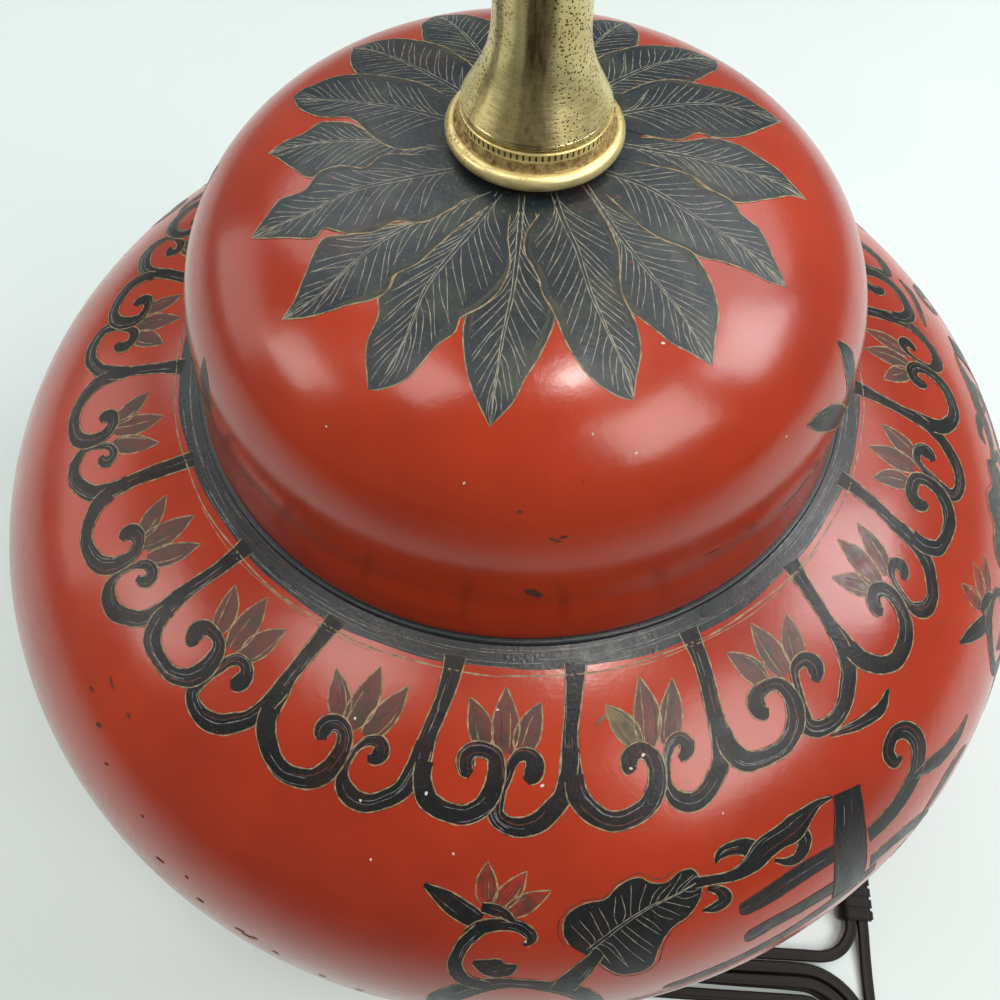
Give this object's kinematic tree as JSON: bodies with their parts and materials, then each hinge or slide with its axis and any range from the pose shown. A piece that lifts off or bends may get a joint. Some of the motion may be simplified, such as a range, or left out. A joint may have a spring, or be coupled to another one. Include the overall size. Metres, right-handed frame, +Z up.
{
  "type": "table lamp",
  "caption": "Table lamp with a lacquered, domed-lid ginger jar as its body, on a turned wooden base, with a flared brass neck, screw-shell socket, wire harp and a hanked flat cord.",
  "frame": {"origin": "centre of the lamp's underside, on the jar's axis, where the felt meets the table", "axes": "+Z up along the lamp's axis, -Y to the front where the switch knob points, +X to the right; the harp stands in the XZ plane"},
  "size_m": [0.3744, 0.4017, 0.7242],
  "materials": {
    "red_lacquer": "glossy red lacquer over turned wood with slate-black and tan painted ornament",
    "dark_wood": "dark satin stain",
    "felt": "matt",
    "steel": "satin zinc",
    "brass": "satin",
    "aged_brass": "brushed and worn, with dark pits",
    "soft_rubber": "matt",
    "fibre_board": "matt",
    "black_plastic": "gloss",
    "lead_cover": "matt",
    "cord_cover": "satin brown",
    "plug_plastic": "satin brown"
  },
  "bodies": {
    "lamp": {"felt_pad": "felt", "base_plinth": "dark_wood", "base_washer": "steel", "base_nut": "steel", "centre_rod": "brass", "cord_bushing": "soft_rubber", "jar_body": "red_lacquer", "jar_lid": "red_lacquer", "seating_ring": "aged_brass", "reeded_ring": "aged_brass", "neck_spindle": "aged_brass", "lower_collar": "aged_brass", "upper_neck": "brass", "upper_collar": "brass", "harp_saddle": "brass", "lock_nut": "brass", "socket_cap": "brass", "set_screw": "steel", "socket_shell": "brass", "insulating_sleeve": "fibre_board", "socket_core": "black_plastic", "screw_shell": "brass", "terminal_screws": "steel", "inner_leads": "lead_cover", "cord_lead": "cord_cover", "cord_hank": "cord_cover", "cord_tail": "cord_cover", "cord_tie": "cord_cover", "plug_body": "plug_plastic", "plug_blades": "brass"},
    "contact": {"centre_contact": "brass"},
    "switch": {"switch_knob": "black_plastic", "switch_shaft": "brass"},
    "harp": {"harp_bow": "brass", "harp_stud": "brass"},
    "ferrule_left": {"harp_ferrule_left": "brass"},
    "ferrule_right": {"harp_ferrule_right": "brass"},
    "finial": {"finial": "brass"}
  },
  "joints": [
    {"name": "harp_lift", "type": "slide", "parent": "lamp", "child": "harp", "axis": [0, 0, 1], "range_m": [0, 0.03]},
    {"name": "ferrule_left_slide", "type": "slide", "parent": "harp", "child": "ferrule_left", "axis": [0, 0, 1], "range_m": [0, 0.012]},
    {"name": "ferrule_right_slide", "type": "slide", "parent": "harp", "child": "ferrule_right", "axis": [0, 0, 1], "range_m": [0, 0.012]},
    {"name": "finial_turn", "type": "hinge", "parent": "harp", "child": "finial", "pos_m": [0, 0, 0.7], "axis": [0, 0, 1], "continuous": true},
    {"name": "switch_turn", "type": "hinge", "parent": "lamp", "child": "switch", "pos_m": [0, -0.02, 0.4618], "axis": [0, -1, 0], "continuous": true},
    {"name": "contact_press", "type": "slide", "parent": "lamp", "child": "contact", "axis": [0, 0, -1], "range_m": [0, 0.0012], "stiffness_N_per_m": 2000}
  ]
}
